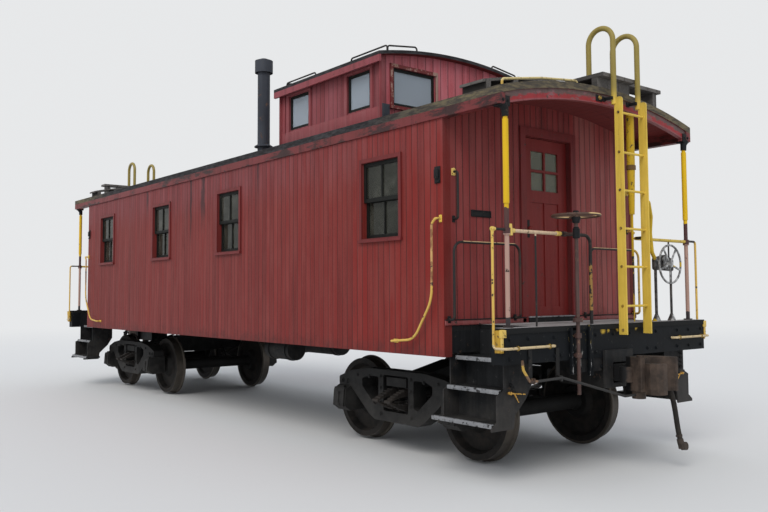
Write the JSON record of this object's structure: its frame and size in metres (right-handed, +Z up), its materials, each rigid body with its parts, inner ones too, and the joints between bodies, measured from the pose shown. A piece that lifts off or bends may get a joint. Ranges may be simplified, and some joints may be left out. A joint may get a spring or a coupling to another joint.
{
  "type": "wooden caboose",
  "caption": "Wooden side-boarded caboose with a cupola, end platforms, roof ladders and two swivelling four-wheel trucks that roll.",
  "frame": {"origin": "bottom centre of the car, at the height of the lowest point of the wheel flanges, midway between the couplers", "axes": "+X along the car towards the front platform, -Y to the left side, +Z up"},
  "size_m": [11.44, 3.006, 4.6299],
  "materials": {
    "black_steel": "semi-matt",
    "cast_truck": "greasy black",
    "dark_sash": "painted",
    "grey_timber": "bare, weathered",
    "hose_rubber": "matt",
    "red_boards": "painted, weathered",
    "red_trim": "painted, weathered",
    "roofing": "tarred felt",
    "rusty_cast": "rusted",
    "window_glass": "clear",
    "yellow_steel": "weathered gloss"
  },
  "bodies": {
    "carbody": {"air_brake_gear": "black_steel", "air_hoses": "hose_rubber", "brake_staffs": "black_steel", "brake_wheels": "yellow_steel", "center_sill": "black_steel", "corner_posts": "yellow_steel", "couplers": "rusty_cast", "cross_members": "black_steel", "cupola_ends": "red_boards", "cupola_roof": "roofing", "cupola_sides": "red_boards", "door_hinges": "black_steel", "draft_pockets": "black_steel", "drop_pipes": "yellow_steel", "eave_beams": "red_trim", "end_railings": "yellow_steel", "end_sills": "black_steel", "end_wall_front": "red_boards", "end_wall_rear": "red_boards", "floor": "grey_timber", "grab_irons": "yellow_steel", "hand_brake_gears": "black_steel", "hose_couplings": "rusty_cast", "knuckles": "rusty_cast", "ladder_rails": "yellow_steel", "ladder_rungs": "yellow_steel", "main_roof": "roofing", "platform_beams": "black_steel", "platform_decks": "black_steel", "roof_bows": "red_trim", "roof_walks": "grey_timber", "side_sills": "black_steel", "side_wall_left": "red_boards", "side_wall_right": "red_boards", "smoke_stack": "black_steel", "step_stringers": "black_steel", "step_treads": "black_steel", "uncoupling_levers": "black_steel", "walk_cleats": "grey_timber", "window_casings": "red_trim", "window_glass": "window_glass", "window_sashes": "dark_sash"},
    "door_front": {"door_front": "red_boards", "door_front_glass": "window_glass"},
    "door_rear": {"door_rear": "red_boards", "door_rear_glass": "window_glass"},
    "truck_front": {"truck_front_bolster": "cast_truck", "truck_front_side_frames": "cast_truck", "truck_front_springs": "cast_truck"},
    "truck_rear": {"truck_rear_bolster": "cast_truck", "truck_rear_side_frames": "cast_truck", "truck_rear_springs": "cast_truck"},
    "wheelset_1": {"wheelset_1_axle": "rusty_cast", "wheelset_1_wheels": "rusty_cast"},
    "wheelset_2": {"wheelset_2_axle": "rusty_cast", "wheelset_2_wheels": "rusty_cast"},
    "wheelset_3": {"wheelset_3_axle": "rusty_cast", "wheelset_3_wheels": "rusty_cast"},
    "wheelset_4": {"wheelset_4_axle": "rusty_cast", "wheelset_4_wheels": "rusty_cast"}
  },
  "joints": [
    {"name": "door_front_hinge", "type": "hinge", "parent": "carbody", "child": "door_front", "pos_m": [4.378, 0.333, 2.17], "axis": [0, 0, -1], "range_deg": [0, 90]},
    {"name": "door_rear_hinge", "type": "hinge", "parent": "carbody", "child": "door_rear", "pos_m": [-4.378, -0.333, 2.17], "axis": [0, 0, -1], "range_deg": [0, 90]},
    {"name": "truck_front_swivel", "type": "hinge", "parent": "carbody", "child": "truck_front", "pos_m": [3.4, 0, 0.898], "axis": [0, 0, 1], "range_deg": [-3.5, 3.5]},
    {"name": "truck_rear_swivel", "type": "hinge", "parent": "carbody", "child": "truck_rear", "pos_m": [-3.4, 0, 0.898], "axis": [0, 0, 1], "range_deg": [-3.5, 3.5]},
    {"name": "wheelset_1_roll", "type": "hinge", "parent": "truck_front", "child": "wheelset_1", "pos_m": [4.238, 0, 0.444], "axis": [0, 1, 0], "continuous": true},
    {"name": "wheelset_2_roll", "type": "hinge", "parent": "truck_front", "child": "wheelset_2", "pos_m": [2.562, 0, 0.444], "axis": [0, 1, 0], "continuous": true},
    {"name": "wheelset_3_roll", "type": "hinge", "parent": "truck_rear", "child": "wheelset_3", "pos_m": [-2.562, 0, 0.444], "axis": [0, 1, 0], "continuous": true},
    {"name": "wheelset_4_roll", "type": "hinge", "parent": "truck_rear", "child": "wheelset_4", "pos_m": [-4.238, 0, 0.444], "axis": [0, 1, 0], "continuous": true}
  ]
}
